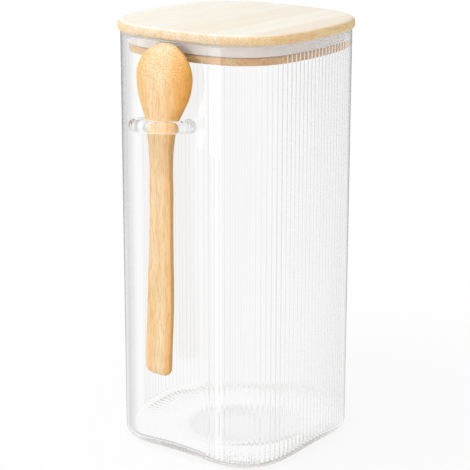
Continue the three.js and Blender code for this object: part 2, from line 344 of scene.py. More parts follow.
# %% [markdown]
# ## The ring that carries the spoon
#
# A glass rod is bent to a ring, and its two ends are melted on to the wall. Two separate glass objects would
# show a false surface where they meet, so the ring is cut half way into the wall and then joined to it: one
# skin, as the fused glass has. The rod swells a little before the wall, where hot glass has run. It is a hair
# thinner than the model's 3 mm radius, so that its rounder skin stays inside the model's box.

# %% Bend the rod
ROD_RADIUS = 2.98 * MM
RING_RADIUS = 12.4 * MM
RING_REACH = 6.6 * MM
RING_HEIGHT = 167.1 * MM
RING_TILT = math.radians(7)
RING_LEAN = math.radians(3)
RING_SWELL = 0.6 * MM
SWELL_LENGTH = 3.2 * MM
FRONT_FACE = GLASS_LOW.y
ROD_SIDES = 40
RING_STEPS = 160


def bent_rod():
    to_place = Matrix.Translation((0, FRONT_FACE - RING_REACH, RING_HEIGHT))
    to_place @= Euler((-RING_TILT, -RING_LEAN, 0), "XYZ").to_matrix().to_4x4()
    rings = []
    for i in range(RING_STEPS):
        angle = 2 * math.pi * i / RING_STEPS
        outward = Vector((math.cos(angle), math.sin(angle), 0))
        to_wall = RING_REACH - RING_RADIUS * outward.y
        radius = ROD_RADIUS + RING_SWELL * (1 - smooth_share(to_wall, 0, SWELL_LENGTH))
        section = []
        for j in range(ROD_SIDES):
            side = 2 * math.pi * j / ROD_SIDES
            across = RING_RADIUS + radius * math.cos(side)
            section.append(to_place @ (outward * across + Vector((0, 0, radius * math.sin(side)))))
        rings.append(section)
    return finish_mesh("spoon_ring", loft(rings, closed=True))


print("the ring is", round(2 * (RING_RADIUS + ROD_RADIUS) / MM, 1), "mm across outside")


# %% Melt the ring on to the wall
def cut(piece, other, operation):
    """Joins or cuts two closed meshes, and keeps the result in the first."""
    step = piece.modifiers.new(operation.lower(), "BOOLEAN")
    step.operation = operation
    step.solver = "MANIFOLD"
    step.object = other
    bpy.context.view_layer.update()
    result = bpy.data.meshes.new_from_object(piece.evaluated_get(bpy.context.evaluated_depsgraph_get()))
    piece.modifiers.clear()
    piece.data = result
    bpy.data.objects.remove(other)


spoon_ring = bent_rod()
half_wall = [outline_ring(JAR_POINTS, WALL / 2, height) for height in (0, RIM_HEIGHT)]
cut(spoon_ring, finish_mesh("half_wall", loft(half_wall)), "DIFFERENCE")
cut(glass_jar, spoon_ring, "UNION")
smooth(glass_jar)
place(glass_jar, "jar", "clear_glass", "glass_body", "spoon_loop")

# %% [markdown]
# ## The lid
#
# A bamboo board lies on the rim. Under it a bamboo plug goes into the mouth, with a seal in a groove round
# it. They could be cut from boxes with a bevel, but all three follow the jar's outline at their own inset,
# so each is a loft through a short list of insets and heights.

# %% The lid's sizes
LID_POINTS = 240
PLATE_TOP_EDGE = 2.3 * MM
PLATE_BOTTOM_EDGE = 1.6 * MM
LIP_EDGE = 0.6 * MM
LIP_HEIGHT = 3.4 * MM
GASKET_THICKNESS = 2.2 * MM
GROOVE_GAP = 0.3 * MM
GASKET_EDGE = 0.7 * MM
FLAT_MARGIN = 0.3 * MM
EDGE_STEPS = 8
DOWN = -math.pi / 2
UP = math.pi / 2
PLATE_INSET = JAR_WIDTH / 2 - PLATE_HIGH.x
GASKET_INSET = JAR_WIDTH / 2 - GASKET_HIGH.x
LIP_INSET = JAR_WIDTH / 2 - PLUG_HIGH.x
print("the board overhangs the glass by", round(-PLATE_INSET / MM, 1), "mm")


# %% The board, the plug and the seal
def slab(name, profile):
    """A solid whose faces above and below are flat. A ring just inside each keeps the shading flat there."""
    first, last = profile[0], profile[-1]
    inner = [(first[0] + FLAT_MARGIN, first[1]), *profile, (last[0] + FLAT_MARGIN, last[1])]
    return finish_mesh(name, loft([outline_ring(LID_POINTS, inset, height) for inset, height in inner]))


def lid_board():
    lower, upper = PLATE_BOTTOM_EDGE, PLATE_TOP_EDGE
    low = arc(PLATE_INSET + lower, PLATE_LOW.z + lower, lower, DOWN, 0, EDGE_STEPS)
    high = arc(PLATE_INSET + upper, PLATE_HIGH.z - upper, upper, 0, UP, EDGE_STEPS)
    return slab("lid_board", low + high)


def lid_plug():
    lip_top = PLUG_LOW.z + LIP_HEIGHT
    groove = GASKET_INSET + GASKET_THICKNESS + GROOVE_GAP
    low = arc(LIP_INSET + LIP_EDGE, PLUG_LOW.z + LIP_EDGE, LIP_EDGE, DOWN, 0, EDGE_STEPS)
    high = arc(LIP_INSET + LIP_EDGE, lip_top - LIP_EDGE, LIP_EDGE, 0, UP, EDGE_STEPS)
    return slab("bamboo_plug", low + high + [(groove, lip_top), (groove, PLUG_HIGH.z)])


def lid_seal():
    inner = GASKET_INSET + GASKET_THICKNESS
    outer = GASKET_INSET + GASKET_EDGE
    low = arc(outer, GASKET_LOW.z + GASKET_EDGE, GASKET_EDGE, DOWN, 0, EDGE_STEPS)
    high = arc(outer, GASKET_HIGH.z - GASKET_EDGE, GASKET_EDGE, 0, UP, EDGE_STEPS)
    profile = [(inner, GASKET_LOW.z), *low, *high, (inner, GASKET_HIGH.z)]
    rings = [outline_ring(LID_POINTS, inset, height) for inset, height in profile]
    return finish_mesh("silicone_seal", loft(rings, closed=True))


board = lid_board()
plug = lid_plug()
seal = lid_seal()
place(board, "lid", "pale_bamboo", "lid_plate")
place(plug, "lid", "bamboo", "lid_plug")
place(seal, "lid", "silicone", "lid_gasket")

# %% [markdown]
# ## The spoon
#
# The spoon is cut from one bamboo slat: a flat handle that widens to its end, a neck, and an oval head that
# is hollow on the side facing the jar. Sculpting would do, but a list of stations from end to tip is easier
# to change. A smooth curve runs through the stations. Each section is a superellipse: soft at the handle's
# end, nearly a box along the handle, and round on the head.

# %% The spoon's sizes
SPOON_TOP = SPOON_HIGH.z
SPOON_BOTTOM = SPOON_LOW.z
FLANK_ANGLE = math.radians(29)
SPOON_CLEARANCE = 0.45 * MM
SEAT_HALF_WIDTH = RING_RADIUS - ROD_RADIUS * math.cos(FLANK_ANGLE) - SPOON_CLEARANCE
SEAT_HEIGHT = RING_HEIGHT + RING_RADIUS * math.sin(RING_LEAN) + ROD_RADIUS * math.sin(FLANK_ANGLE)
HEAD_HALF_WIDTH = 16.1 * MM
HEAD_WIDE_DROP = 16.4 * MM
HEAD_FRONT = 5 * MM
HEAD_REAR = 2.8 * MM
SPOON_LID_CLEARANCE = 0.5 * MM
HEAD_REACH = -PLATE_INSET + SPOON_LID_CLEARANCE + HEAD_REAR
HEAD_WIDE_HEIGHT = SPOON_TOP - HEAD_WIDE_DROP
NECK_REACH = 7.4 * MM
NECK_HALF_WIDTH = 6.9 * MM
NECK_HALF_THICKNESS = 2.4 * MM
NECK_DROP = 6 * MM
NECK_HEIGHT = RING_HEIGHT - NECK_DROP
HANDLE_HALF_WIDTH = 6.4 * MM
HANDLE_HALF_THICKNESS = 1.6 * MM
HANDLE_END_HALF_WIDTH = 7.6 * MM
HANDLE_END_RADIUS = 4 * MM
HANDLE_END_REACH = 11 * MM
BOWL_DEPTH = 5.2 * MM
BOWL_RIM = 2.6 * MM
BOWL_HALF_WIDTH = HEAD_HALF_WIDTH - BOWL_RIM
BOWL_HALF_HEIGHT = HEAD_WIDE_DROP - BOWL_RIM
BOWL_PLANE = FRONT_FACE - HEAD_REACH + HEAD_REAR
print("the head is", round(2 * HEAD_HALF_WIDTH / MM, 1), "mm wide")

# %% The spoon's stations
# Shares: up from the handle's end, narrowing, and back towards the jar.
HANDLE_SHARES = [
    (0, 0, 0), (0.16, 0.05, 0.28), (0.28, 0.15, 0.53),
    (0.4, 0.4, 0.67), (0.52, 0.8, 0.79), (0.75, 1, 0.94),
]
# Shares: up to the widest place, widening, thickening, and leaning back.
TAPER_SHARES = [(0, 0, 0.25, 0.2), (0.3, 0.42, 0.55, 0.45), (0.6, 0.8, 0.85, 0.75)]


def spoon_stations():
    """Each station is a height, then half width, thickness before and behind the centre line, and reach."""
    stations = []
    for up, narrow, back in HANDLE_SHARES:
        width = mix(HANDLE_END_HALF_WIDTH, HANDLE_HALF_WIDTH, narrow)
        reach = mix(HANDLE_END_REACH, NECK_REACH, back)
        height = mix(SPOON_BOTTOM, NECK_HEIGHT, up)
        stations.append((height, width, HANDLE_HALF_THICKNESS, HANDLE_HALF_THICKNESS, reach))
    stations.append((NECK_HEIGHT, NECK_HALF_WIDTH, NECK_HALF_THICKNESS, NECK_HALF_THICKNESS, NECK_REACH))
    for up, widen, thicken, lean in TAPER_SHARES:
        width = mix(SEAT_HALF_WIDTH, HEAD_HALF_WIDTH, widen)
        front = mix(NECK_HALF_THICKNESS, HEAD_FRONT, thicken)
        rear = mix(NECK_HALF_THICKNESS, HEAD_REAR, thicken)
        height = mix(SEAT_HEIGHT, HEAD_WIDE_HEIGHT, up)
        stations.append((height, width, front, rear, mix(NECK_REACH, HEAD_REACH, lean)))
    stations.append((HEAD_WIDE_HEIGHT, HEAD_HALF_WIDTH, HEAD_FRONT, HEAD_REAR, HEAD_REACH))
    stations.append((SPOON_TOP, HEAD_HALF_WIDTH, HEAD_FRONT, HEAD_REAR, HEAD_REACH))
    return stations


def slopes(stations):
    """The slope at each station is the mean of the slopes before and after it, so the curve has no kink."""
    steps = []
    for low, high in zip(stations, stations[1:]):
        steps.append([(b - a) / (high[0] - low[0]) for a, b in zip(low, high)])
    before = [steps[0], *steps]
    after = [*steps, steps[-1]]
    return [[(a + b) / 2 for a, b in zip(first, second)] for first, second in zip(before, after)]


STATIONS = spoon_stations()
SLOPES = slopes(STATIONS)


def spoon_form(height):
    """Half width, front, rear and reach at a height, on a smooth curve through the stations."""
    last = len(STATIONS) - 2
    i = next((k for k in range(last) if height < STATIONS[k + 1][0]), last)
    low, high = STATIONS[i], STATIONS[i + 1]
    span = high[0] - low[0]
    t = (height - low[0]) / span
    starts = 2 * t ** 3 - 3 * t ** 2 + 1
    ends = 3 * t ** 2 - 2 * t ** 3
    leaves = t ** 3 - 2 * t ** 2 + t
    arrives = t ** 3 - t ** 2
    return [
        starts * low[k] + ends * high[k] + span * (leaves * SLOPES[i][k] + arrives * SLOPES[i + 1][k])
        for k in range(1, 5)
    ]


print("the spoon has", len(STATIONS), "stations over", round((SPOON_TOP - SPOON_BOTTOM) / MM, 1), "mm")

# %% The spoon's sections and its hollow
SPOON_SIDES = 96
SPOON_STEPS = 150
END_ROUNDNESS = 3.4
HANDLE_ROUNDNESS = 6
HEAD_ROUNDNESS = 2.1
END_LENGTH = 45 * MM
END_THINNING_SHARE = 0.5
RIM_SOFTNESS = 0.5 * MM


def softer_of(a, b, softness):
    """The lower of two values, with the change from one to the other rounded off."""
    gap = max(softness - abs(a - b), 0) / softness
    return min(a, b) - gap * gap * softness / 4


def bowl_surface(x, height):
    """The y of the hollow's floor, which dips to the front. Outside the hollow it lies behind the rim."""
    from_middle = (x / BOWL_HALF_WIDTH) ** 2 + ((height - HEAD_WIDE_HEIGHT) / BOWL_HALF_HEIGHT) ** 2
    if from_middle >= 1:
        return BOWL_PLANE + BOWL_DEPTH * min(from_middle - 1, 1)
    return BOWL_PLANE - BOWL_DEPTH * math.sqrt(1 - from_middle)


def spoon_section(height):
    width, front, rear, reach = spoon_form(height)
    rise = max(0, height - HEAD_WIDE_HEIGHT) / HEAD_WIDE_DROP
    dome = math.sqrt(max(0, 1 - rise ** 2))
    fall = max(0, HANDLE_END_RADIUS - (height - SPOON_BOTTOM)) / HANDLE_END_RADIUS
    corner = HANDLE_END_RADIUS * (1 - math.sqrt(max(0, 1 - fall ** 2)))
    thin = 1 - END_THINNING_SHARE * fall ** 4
    half_width, front, rear = width * dome - corner, front * dome * thin, rear * dome * thin
    centre = FRONT_FACE - reach + HEAD_REAR * (1 - dome)
    head = smooth_share(height, NECK_HEIGHT, SEAT_HEIGHT)
    above_end = smooth_share(height, SPOON_BOTTOM, SPOON_BOTTOM + END_LENGTH)
    power = 2 / mix(mix(END_ROUNDNESS, HANDLE_ROUNDNESS, above_end), HEAD_ROUNDNESS, head)
    points = []
    for i in range(SPOON_SIDES):
        angle = 2 * math.pi * i / SPOON_SIDES
        across, along = math.cos(angle), math.sin(angle)
        x = half_width * math.copysign(abs(across) ** power, across)
        y = centre + (front if along < 0 else rear) * math.copysign(abs(along) ** power, along)
        if along > 0:
            y = max(softer_of(y, bowl_surface(x, height), RIM_SOFTNESS), centre - front * abs(along) ** power)
        points.append(Vector((x, y, height)))
    return points


def spoon_piece():
    """Sections lie closer together at the two ends, where the form turns fastest."""
    sections = []
    for i in range(1, SPOON_STEPS):
        share = (1 - math.cos(math.pi * i / SPOON_STEPS)) / 2
        sections.append(spoon_section(mix(SPOON_BOTTOM, SPOON_TOP, share)))
    return finish_mesh("bamboo_spoon", loft(sections))


spoon = spoon_piece()
place(spoon, "spoon", "bamboo", "spoon")

# %% [markdown]
# ## Colour and nodes
#
# Colours are written as sRGB hex values, the way a colour picker shows them, and one function turns them to
# the linear values that the shaders want. One more function adds a node with its settings and links, and
# every material below is made with it.

# %% Helpers for materials
def linear(hex_colour):
    """An sRGB colour such as "F0C078" as linear red, green, blue and alpha."""
    parts = [int(hex_colour[i:i + 2], 16) / 255 for i in (0, 2, 4)]
    return (*[p / 12.92 if p <= 0.04045 else ((p + 0.055) / 1.055) ** 2.4 for p in parts], 1)


def grey(share):
    """A share as a grey, for a colour ramp that is used as a mask."""
    return (share, share, share, 1)


def node(tree, kind, sockets=None, stops=None, **settings):
    """Adds a node. Sockets gives each input, by name or number, a value or the output that feeds it."""
    made = tree.nodes.new("ShaderNode" + kind)
    for name, value in settings.items():
        setattr(made, name, value)
    for socket, value in (sockets or {}).items():
        if isinstance(value, bpy.types.NodeSocket):
            tree.links.new(value, made.inputs[socket])
        else:
            made.inputs[socket].default_value = value
    for number, (position, colour) in enumerate(stops or []):
        elements = made.color_ramp.elements
        element = elements[number] if number < 2 else elements.new(position)
        element.position, element.color = position, colour
    return made


def new_material(name):
    material = bpy.data.materials.new(name)
    material.use_nodes = True
    material.node_tree.nodes.clear()
    return material, material.node_tree


def dress(piece, material):
    piece.data.materials.clear()
    piece.data.materials.append(material)
    print(piece.name, "is", material.name)


WHITE = grey(1)
BLACK = grey(0)
print("F0C078 in linear values is", [round(v, 3) for v in linear("F0C078")])

# %% [markdown]
# ## Clear borosilicate glass, blown in a mould
#
# Its outside is fire-polished, so it is mirror smooth, with the slightest waviness. From the front it has no
# tint, but light that travels a long way inside it comes out a little weaker. Absorption in the volume gives
# that from every side, where a tint on the surface would grey the whole jar. The flat disc that the jar
# stands on is seen through the floor as a pale grey ellipse, the table's shade where the disc touches it.
# So that shade is painted into the surface's colour just there, a little darker towards the disc's edge.

# %% The glass
GLASS_IOR = 1.47
ABSORPTION_PER_METRE = 0.6
ABSORBED = linear("003859")
# Painted contact shade: a grey on the disc that the jar stands on, standing in for the table's shadow there.
CONTACT_SHADE_DISC = [
    (0, linear("F3F3F3")), (0.55, linear("EDEDED")), (0.9, linear("E2E2E2")), (1, linear("F8F8F8")),
]
CONTACT_SHADE_HEIGHT = 0.1 * MM
WAVE_SIZE = 45 * MM
WAVE_HEIGHT = 0.1 * MM
WAVE_STRENGTH = 0.3


def borosilicate_glass():
    material, tree = new_material("blown_borosilicate_glass")
    spot = node(tree, "TexCoord").outputs["Object"]
    waves = node(tree, "TexNoise", {"Vector": spot, "Scale": 1 / WAVE_SIZE, "Detail": 1})
    bump = node(tree, "Bump", {
        "Height": waves.outputs["Fac"], "Distance": WAVE_HEIGHT, "Strength": WAVE_STRENGTH,
    })
    parts = node(tree, "SeparateXYZ", {0: spot})
    away = node(tree, "VectorMath", {0: spot}, operation="LENGTH").outputs["Value"]
    out = node(tree, "Math", {0: away, 1: DISC_RADIUS}, operation="DIVIDE")
    # The painted contact shade, lighter in the disc's middle and darker towards its edge.
    contact_shade = node(tree, "ValToRGB", {0: out.outputs[0]}, CONTACT_SHADE_DISC)
    above = node(tree, "Math", {0: parts.outputs["Z"], 1: CONTACT_SHADE_HEIGHT}, operation="GREATER_THAN")
    tint = node(tree, "Mix", {0: above.outputs[0], 6: contact_shade.outputs[0], 7: WHITE}, data_type="RGBA")
    shader = node(tree, "BsdfPrincipled", {
        "Base Color": tint.outputs[2], "Normal": bump.outputs["Normal"],
        "Roughness": 0, "IOR": GLASS_IOR, "Transmission Weight": 1,
    })
    absorption = node(tree, "VolumeAbsorption", {"Color": ABSORBED, "Density": ABSORPTION_PER_METRE})
    node(tree, "OutputMaterial", {"Surface": shader.outputs[0], "Volume": absorption.outputs[0]})
    return material


dress(glass_jar, borosilicate_glass())

# %% [markdown]
# ## Bamboo
#
# Bamboo is a bundle of long fibres in a paler pith. Along the fibres it shows fine wavy streaks, and where it
# is cut across it shows dots. One pattern in space gives both: noise and cells that are stretched along the
# fibres. It lies inside the piece like the real grain does, so no edge needs a seam or a map.
#
# The bundles lie 0.9 mm apart, as in the real wood. The streaks between them are finer than 0.2 mm there, too
# fine for the picture, so they are drawn 0.5 mm apart.

# %% The grain's sizes
WANDER_SIZE = 14 * MM
STREAK_SPACING = 0.5 * MM
FIBRE_SPACING = 0.9 * MM
PATCH_SIZE = 4.5 * MM
TONE_EDGES = (0.36, 0.66)
STREAK_EDGES = (0.38, 0.53)
DOT_EDGES = (0.2, 0.5)
FIBRE_DISORDER = 0.6
GRAIN_HEIGHT = 0.1 * MM
GRAIN_STRENGTH = 0.25
WOOD_IOR = 1.5
print("streaks", round(STREAK_SPACING / MM, 1), "mm and fibres", round(FIBRE_SPACING / MM, 1), "mm apart")


# %% Grain that runs through a piece
def grain_space(tree, along, stretch, wander):
    """A place in the piece, pushed gently sideways and squeezed along the fibres."""
    spot = node(tree, "TexCoord").outputs["Object"]
    drift = node(tree, "TexNoise", {"Vector": spot, "Scale": 1 / WANDER_SIZE, "Detail": 2})
    centred = node(tree, "VectorMath", {0: drift.outputs["Color"], 1: (0.5, 0.5, 0.5)}, operation="SUBTRACT")
    reach = (wander, wander, wander)
    pushed = node(tree, "VectorMath", {0: centred.outputs[0], 1: reach, 2: spot}, operation="MULTIPLY_ADD")
    squeeze = [1 / stretch if axis == along else 1 for axis in "XYZ"]
    return node(tree, "VectorMath", {0: pushed.outputs[0], 1: squeeze}, operation="MULTIPLY").outputs[0]


def bamboo_grain(tree, along, stretch, wander, tones, streaks, dots):
    """Colour and height of the grain. Streaks and dots say how strongly the dark fibres show."""
    pale, warm, dark = [linear(tone) for tone in tones]
    inside = grain_space(tree, along, stretch, wander)
    patches = node(tree, "TexNoise", {"Vector": inside, "Scale": 1 / PATCH_SIZE, "Detail": 2})
    mottling = [(TONE_EDGES[0], pale), (TONE_EDGES[1], warm)]
    pith = node(tree, "ValToRGB", {0: patches.outputs["Fac"]}, mottling)
    lines = node(tree, "TexNoise", {
        "Vector": inside, "Scale": 1 / STREAK_SPACING, "Detail": 3, "Roughness": 0.6,
    })
    fading_streaks = [(STREAK_EDGES[0], grey(streaks)), (STREAK_EDGES[1], BLACK)]
    line_share = node(tree, "ValToRGB", {0: lines.outputs["Fac"]}, fading_streaks)
    streaked = node(tree, "Mix", {
        0: line_share.outputs[0], 6: pith.outputs[0], 7: dark,
    }, data_type="RGBA")
    fibres = node(tree, "TexVoronoi", {
        "Vector": inside, "Scale": 1 / FIBRE_SPACING, "Randomness": FIBRE_DISORDER,
    })
    fading_dots = [(DOT_EDGES[0], grey(dots)), (DOT_EDGES[1], BLACK)]
    dot_share = node(tree, "ValToRGB", {0: fibres.outputs["Distance"]}, fading_dots)
    dotted = node(tree, "Mix", {
        0: dot_share.outputs[0], 6: streaked.outputs[2], 7: dark,
    }, data_type="RGBA")
    return dotted.outputs[2], lines.outputs["Fac"]


def wood_shader(tree, colour, height, roughness):
    """Sanded wood: a soft sheen, broken up by shallow grain that can be felt."""
    bump = node(tree, "Bump", {"Height": height, "Distance": GRAIN_HEIGHT, "Strength": GRAIN_STRENGTH})
    shader = node(tree, "BsdfPrincipled", {
        "Base Color": colour, "Normal": bump.outputs["Normal"], "Roughness": roughness, "IOR": WOOD_IOR,
    })
    node(tree, "OutputMaterial", {"Surface": shader.outputs[0]})


# %% [markdown]
# ## The spoon's bamboo
#
# The spoon is oiled, so it is warmer than the lid. Across the spoon its tone changes slowly, deeper towards
# +X.
# That is partly the slat's side nearer to the bark, where the fibres are closer and the colour is deeper, and
# partly painted shade on the side away from the key. The pale middle is a painted sheen. Down the handle the
# fibres are streaks along Z. On the upper head the cut runs across them and shows dots, so there the same
# grain is used with its fibres along Y, and the two are blended over 14 mm.

# %% Oiled bamboo
DOTTED_FROM = 180 * MM
DOTTED_TO = 194 * MM
OILED_ROUGHNESS = 0.42
STREAKY_TONES = ("F5DDB6", "F0C991", "D2984A")
DOTTED_TONES = ("F3DEB4", "EFD09E", "D09848")
# Tone across the spoon: deeper towards +X, partly the bark side and partly painted shade; the white middle is
# a painted sheen.
SLAT_TONE_SHADE_AND_SHEEN = [
    (0.1, linear("FDF0C8")), (0.4, WHITE), (0.58, WHITE), (0.78, linear("FADA9C")), (0.95, linear("FAD078")),
]


def oiled_bamboo():
    material, tree = new_material("oiled_bamboo")
    streaky, height = bamboo_grain(
        tree, "Z", stretch=24, wander=2.8 * MM, tones=STREAKY_TONES, streaks=0.55, dots=0,
    )
    dotted, _ = bamboo_grain(
        tree, "Y", stretch=6, wander=1.2 * MM, tones=DOTTED_TONES, streaks=0.1, dots=0.72,
    )
    spot = node(tree, "SeparateXYZ", {0: node(tree, "TexCoord").outputs["Object"]})
    upper = node(tree, "MapRange", {
        "Value": spot.outputs["Z"], "From Min": DOTTED_FROM, "From Max": DOTTED_TO,
    }, interpolation_type="SMOOTHSTEP")
    both = node(tree, "Mix", {0: upper.outputs[0], 6: streaky, 7: dotted}, data_type="RGBA")
    across = node(tree, "MapRange", {
        "Value": spot.outputs["X"], "From Min": -HEAD_HALF_WIDTH, "From Max": HEAD_HALF_WIDTH,
    })
    # The painted shade and sheen across the spoon, together with the bark side's deeper tone.
    slat_tone_and_shade = node(tree, "ValToRGB", {0: across.outputs[0]}, SLAT_TONE_SHADE_AND_SHEEN)
    toned_and_shaded = node(tree, "Mix", {
        0: 1, 6: both.outputs[2], 7: slat_tone_and_shade.outputs[0],
    }, data_type="RGBA", blend_type="MULTIPLY")
    wood_shader(tree, toned_and_shaded.outputs[2], height, OILED_ROUGHNESS)
    return material


dress(spoon, oiled_bamboo())

# %% [markdown]
# ## The lid's bamboo
#
# The board is glued from strips that run along Y, each of its own tone. Its sanded top is almost cream, and
# its edge, which shows the fibres from the side and from the end, is tan. Three sets of tones give that, and
# the way a face points chooses between them. The plug below is the same wood, unbleached.

# %% Strip bamboo for the board and the plug
STRIP_WIDTH = 19 * MM
STRIP_STRETCH = 30
STRIP_WANDER = 0.8 * MM
STRIP_CONTRAST = 0.5
SEAM_SHARE = 0.035
SEAM_STRENGTH = 0.6
SIDE_EDGES = (0.1, 0.9)
FLAT_EDGES = (0.6, 0.97)
SANDED_ROUGHNESS = 0.6


def strip_bamboo(name, face_tones, side_tones, end_tones, seam):
    """A board of strips. Faces, long sides and cut ends each have pale, warm and dark tones."""
    material, tree = new_material(name)
    grain = (tree, "Y", STRIP_STRETCH, STRIP_WANDER)
    face, height = bamboo_grain(*grain, face_tones, streaks=0.25, dots=0.05)
    side, _ = bamboo_grain(*grain, side_tones, streaks=0.45, dots=0.2)
    end, _ = bamboo_grain(*grain, end_tones, streaks=0.2, dots=0.6)
    coordinates = node(tree, "TexCoord")
    spot = node(tree, "SeparateXYZ", {0: coordinates.outputs["Object"]})
    strips = node(tree, "Math", {0: spot.outputs["X"], 1: STRIP_WIDTH}, operation="DIVIDE")
    number = node(tree, "Math", {0: strips.outputs[0]}, operation="FLOOR")
    within = node(tree, "Math", {0: strips.outputs[0]}, operation="FRACT")
    tone = node(tree, "TexWhiteNoise", {"W": number.outputs[0]}, noise_dimensions="1D")
    depth = node(tree, "Math", {0: tone.outputs["Value"], 1: STRIP_CONTRAST}, operation="MULTIPLY")
    toned = node(tree, "Mix", {0: depth.outputs[0], 6: face, 7: linear(seam)}, data_type="RGBA")
    line = node(tree, "ValToRGB", {0: within.outputs[0]}, [(0, grey(SEAM_STRENGTH)), (SEAM_SHARE, BLACK)])
    seamed = node(tree, "Mix", {0: line.outputs[0], 6: toned.outputs[2], 7: linear(seam)}, data_type="RGBA")
    facing = node(tree, "SeparateXYZ", {0: coordinates.outputs["Normal"]})
    sideways = node(tree, "Math", {0: facing.outputs["X"]}, operation="ABSOLUTE")
    along_side = node(tree, "MapRange", {
        "Value": sideways.outputs[0], "From Min": SIDE_EDGES[0], "From Max": SIDE_EDGES[1],
    }, interpolation_type="SMOOTHSTEP")
    edge = node(tree, "Mix", {0: along_side.outputs[0], 6: end, 7: side}, data_type="RGBA")
    level = node(tree, "Math", {0: facing.outputs["Z"]}, operation="ABSOLUTE")
    flat = node(tree, "MapRange", {
        "Value": level.outputs[0], "From Min": FLAT_EDGES[0], "From Max": FLAT_EDGES[1],
    }, interpolation_type="SMOOTHSTEP")
    whole = node(tree, "Mix", {
        0: flat.outputs[0], 6: edge.outputs[2], 7: seamed.outputs[2],
    }, data_type="RGBA")
    wood_shader(tree, whole.outputs[2], height, SANDED_ROUGHNESS)
    return material


dress(board, strip_bamboo(
    "bleached_strip_bamboo",
    face_tones=("FFFDF6", "FEF8E8", "F3DDBA"), side_tones=("FFE6B2", "FFDA9E", "DCA262"),
    end_tones=("F1E2C8", "EED2AB", "CE9C61"), seam="F3E0C6",
))
dress(plug, strip_bamboo(
    "natural_strip_bamboo",
    face_tones=("FFF0D4", "FBE2BC", "E3BE8C"), side_tones=("EEC68B", "E6B070", "BA7E3C"),
    end_tones=("FAD8A4", "F4C385", "C08446"), seam="E9BC82",
))

# %% [markdown]
# ## Moulded silicone
#
# The seal is whitish and a little see-through, so light enters it and comes out again softened. Subsurface
# scattering gives that. The mould's grain keeps its highlight dull. The real one is finer than 0.1 mm and is
# drawn at 0.4 mm, or it wouldn't show.

# %% The seal's silicone
MOULD_GRAIN_SIZE = 0.4 * MM
MOULD_GRAIN_HEIGHT = 0.05 * MM
MOULD_GRAIN_STRENGTH = 0.15
SCATTER_DEPTH = 1 * MM
SILICONE_IOR = 1.41


def silicone():
    material, tree = new_material("moulded_silicone")
    spot = node(tree, "TexCoord").outputs["Object"]
    grain = node(tree, "TexNoise", {"Vector": spot, "Scale": 1 / MOULD_GRAIN_SIZE, "Detail": 2})
    tones = [(0.3, linear("FCEEE6")), (0.7, linear("FEF4ED"))]
    tint = node(tree, "ValToRGB", {0: grain.outputs["Fac"]}, tones)
    bump = node(tree, "Bump", {
        "Height": grain.outputs["Fac"], "Distance": MOULD_GRAIN_HEIGHT, "Strength": MOULD_GRAIN_STRENGTH,
    })
    shader = node(tree, "BsdfPrincipled", {
        "Base Color": tint.outputs[0], "Normal": bump.outputs["Normal"], "Roughness": 0.45,
        "IOR": SILICONE_IOR, "Subsurface Weight": 0.3, "Subsurface Scale": SCATTER_DEPTH,
        "Subsurface Radius": (1, 1, 1),
    })
    node(tree, "OutputMaterial", {"Surface": shader.outputs[0]})
    return material


dress(seal, silicone())

# %% [markdown]
# ## The studio
#
# The jar stands on a pale table under soft light. The camera sees plain white behind it, while the light that
# falls on the pieces stays at a level where a colour looks as it is written.
#
# Clear glass has no look of its own, so a photographer draws it with what it bends and mirrors. Two grey
# flags stand beside the white card behind the jar, and only the glass sees them: its edges and its ribs bend
# the view sideways on to them and come out as grey lines. In mirror images a dark patch behind the jar edges
# the outline. Light that reaches a piece inside the glass comes mostly from the front left, like the key.

# %% The studio's greys
FILL = 0.6
IN_GLASS = 0.97
ACROSS = (0.8, 0.6, 0)
FLAG_EDGES = (0.2, 0.36, 0.55, 0.8)
FLAG_GREY = 0.64
BEHIND = (-0.6, 0.8, 0.4)
BEHIND_EDGES = (0.62, 0.84)
IN_GLOSS = (1, 0.12)
KEY_SIDE = (-0.57, -0.82, 0)
KEY_EDGES = (0.3, 1)
INTO_GLASS = (1.1, 2.1)


def seen_through_glass(tree, toward):
    """White ahead and far to the side, with a grey flag between them on either side."""
    aside = node(tree, "VectorMath", {0: toward, 1: ACROSS}, operation="DOT_PRODUCT").outputs["Value"]
    either = node(tree, "Math", {0: aside}, operation="ABSOLUTE")
    greys = [IN_GLASS, FLAG_GREY, FLAG_GREY, IN_GLASS]
    stops = [(edge, grey(level)) for edge, level in zip(FLAG_EDGES, greys)]
    return node(tree, "ValToRGB", {0: either.outputs[0]}, stops).outputs[0]


def seen_in_gloss(tree, toward):
    """White, but dark behind the jar."""
    behind = node(tree, "VectorMath", {0: toward, 1: BEHIND}, operation="DOT_PRODUCT").outputs["Value"]
    return node(tree, "MapRange", {
        "Value": behind, "From Min": BEHIND_EDGES[0], "From Max": BEHIND_EDGES[1],
        "To Min": IN_GLOSS[0], "To Max": IN_GLOSS[1],
    }, interpolation_type="SMOOTHSTEP").outputs[0]


def light_into_glass(tree, toward):
    """The light that reaches a piece through the glass, strongest from the key's side."""
    to_key = node(tree, "VectorMath", {0: toward, 1: KEY_SIDE}, operation="DOT_PRODUCT").outputs["Value"]
    return node(tree, "MapRange", {
        "Value": to_key, "From Min": KEY_EDGES[0], "From Max": KEY_EDGES[1],
        "To Min": INTO_GLASS[0], "To Max": INTO_GLASS[1],
    }).outputs[0]


print("through the glass, white is", IN_GLASS, "and a flag is", FLAG_GREY)


